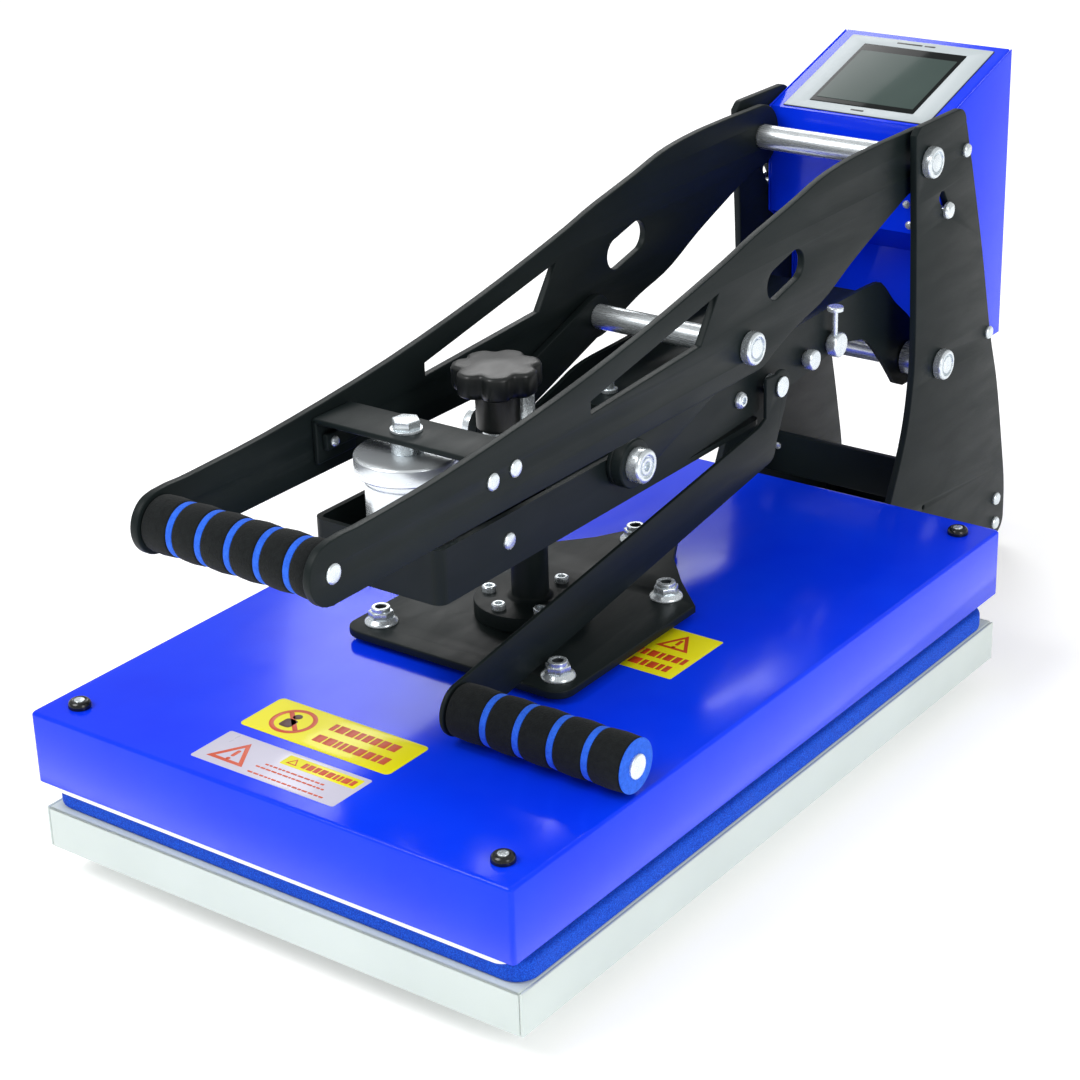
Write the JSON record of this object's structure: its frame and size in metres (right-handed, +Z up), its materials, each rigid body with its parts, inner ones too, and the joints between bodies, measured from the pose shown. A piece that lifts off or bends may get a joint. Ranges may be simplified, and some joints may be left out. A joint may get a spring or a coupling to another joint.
{
  "type": "heat press",
  "caption": "Tabletop clamshell heat press: flat heated platen on a swinging arm, toggle handle with foam grip, padded bed, side release lever and tilted control box with display.",
  "frame": {"origin": "centre of the bounding box footprint, on the plane the feet stand on", "axes": "+Z up, the operator and the two grips at -Y, +Y towards the uprights and control box, +X to the operator's right"},
  "size_m": [0.4128, 0.891, 0.44],
  "materials": {
    "blue_paint": "gloss",
    "black_powder": "satin powder coat",
    "pale_paint": "satin",
    "heater_aluminium": "satin",
    "zinc": "zinc plated",
    "black_foam": "matt",
    "black_rubber": "matt",
    "blue_silicone": "grainy",
    "black_plastic": "satin",
    "bezel_grey": "satin",
    "screen_glass": "gloss",
    "mineral_wool": "matt"
  },
  "bodies": {
    "frame": {"base_frame": "black_powder", "foot_front_left": "black_rubber", "foot_front_right": "black_rubber", "foot_rear_left": "black_rubber", "foot_rear_right": "black_rubber", "bed_tray": "pale_paint", "silicone_pad": "blue_silicone", "upright_left": "black_powder", "upright_right": "black_powder", "crossbar": "black_powder", "handle_pivot_shaft": "zinc", "arm_pivot_shaft": "zinc", "box_bolt": "zinc", "slot_bolt": "zinc", "control_box": "blue_paint", "display_bezel": "bezel_grey", "display_glass": "screen_glass", "control_board": "black_plastic", "power_inlet": "black_plastic"},
    "power_switch": {"power_switch": "black_plastic"},
    "handle": {"handle_plate_left": "black_powder", "handle_plate_right": "black_powder", "grip_rod": "zinc", "grip_foam": "black_foam", "cross_plate": "black_powder", "cross_studs_left": "zinc", "cross_studs_right": "zinc", "keeper_disc": "zinc", "keeper_bolt": "zinc"},
    "link": {"link_shaft": "zinc", "link_left": "black_powder", "link_right": "black_powder", "link_bolt_left": "zinc", "link_bolt_right": "zinc"},
    "arm": {"arm_shell": "black_powder", "electromagnet": "zinc", "arm_tie": "zinc", "lever_pin": "zinc", "stop_pins": "zinc"},
    "platen": {"yoke_strap": "black_powder", "column": "black_powder", "column_bolt": "zinc", "mounting_plate": "black_powder", "cover": "blue_paint", "insulation": "mineral_wool", "heater_plate": "heater_aluminium", "cap_front_left": "black_rubber", "cap_front_right": "black_rubber", "cap_rear_left": "black_rubber", "cap_rear_right": "black_rubber", "platen_stud_1": "zinc", "platen_stud_2": "zinc", "platen_stud_3": "zinc", "platen_stud_4": "zinc", "platen_stud_5": "zinc"},
    "knob": {"pressure_knob": "black_plastic", "knob_spindle": "zinc"},
    "lever": {"lever_bar": "black_powder", "lever_rod": "zinc", "lever_foam": "black_foam"}
  },
  "joints": [
    {"name": "handle_pivot", "type": "hinge", "parent": "frame", "child": "handle", "pos_m": [0, 0.2838, 0.3824], "axis": [-1, 0, 0], "range_deg": [0, 65]},
    {"name": "arm_pivot", "type": "hinge", "parent": "frame", "child": "arm", "pos_m": [0, 0.3138, 0.2057], "axis": [-1, 0, 0], "range_deg": [0, 34]},
    {"name": "link_pivot", "type": "hinge", "parent": "handle", "child": "link", "pos_m": [0, 0.0375, 0.3013], "axis": [1, 0, 0], "range_deg": [0, 88.5]},
    {"name": "platen_slide", "type": "slide", "parent": "arm", "child": "platen", "axis": [0, 0, 1], "range_m": [0, 0.003]},
    {"name": "knob_turn", "type": "hinge", "parent": "platen", "child": "knob", "pos_m": [-0.0006, -0.1675, 0.3223], "axis": [0, 0, 1], "range_deg": [0, 725]},
    {"name": "lever_pivot", "type": "hinge", "parent": "arm", "child": "lever", "pos_m": [0.0634, 0.0975, 0.2503], "axis": [-1, 0, 0], "range_deg": [0, 8]},
    {"name": "switch_rocker", "type": "hinge", "parent": "frame", "child": "power_switch", "pos_m": [0.0294, 0.4295, 0.2363], "axis": [-1, 0, 0], "range_deg": [0, 12]}
  ],
  "couplings": [
    {"joint": "arm_pivot", "follows": "handle_pivot", "ratio": 0.517},
    {"joint": "link_pivot", "follows": "handle_pivot", "ratio": 1.351},
    {"joint": "knob_turn", "follows": "platen_slide", "rad_per_m": 4188.8}
  ]
}
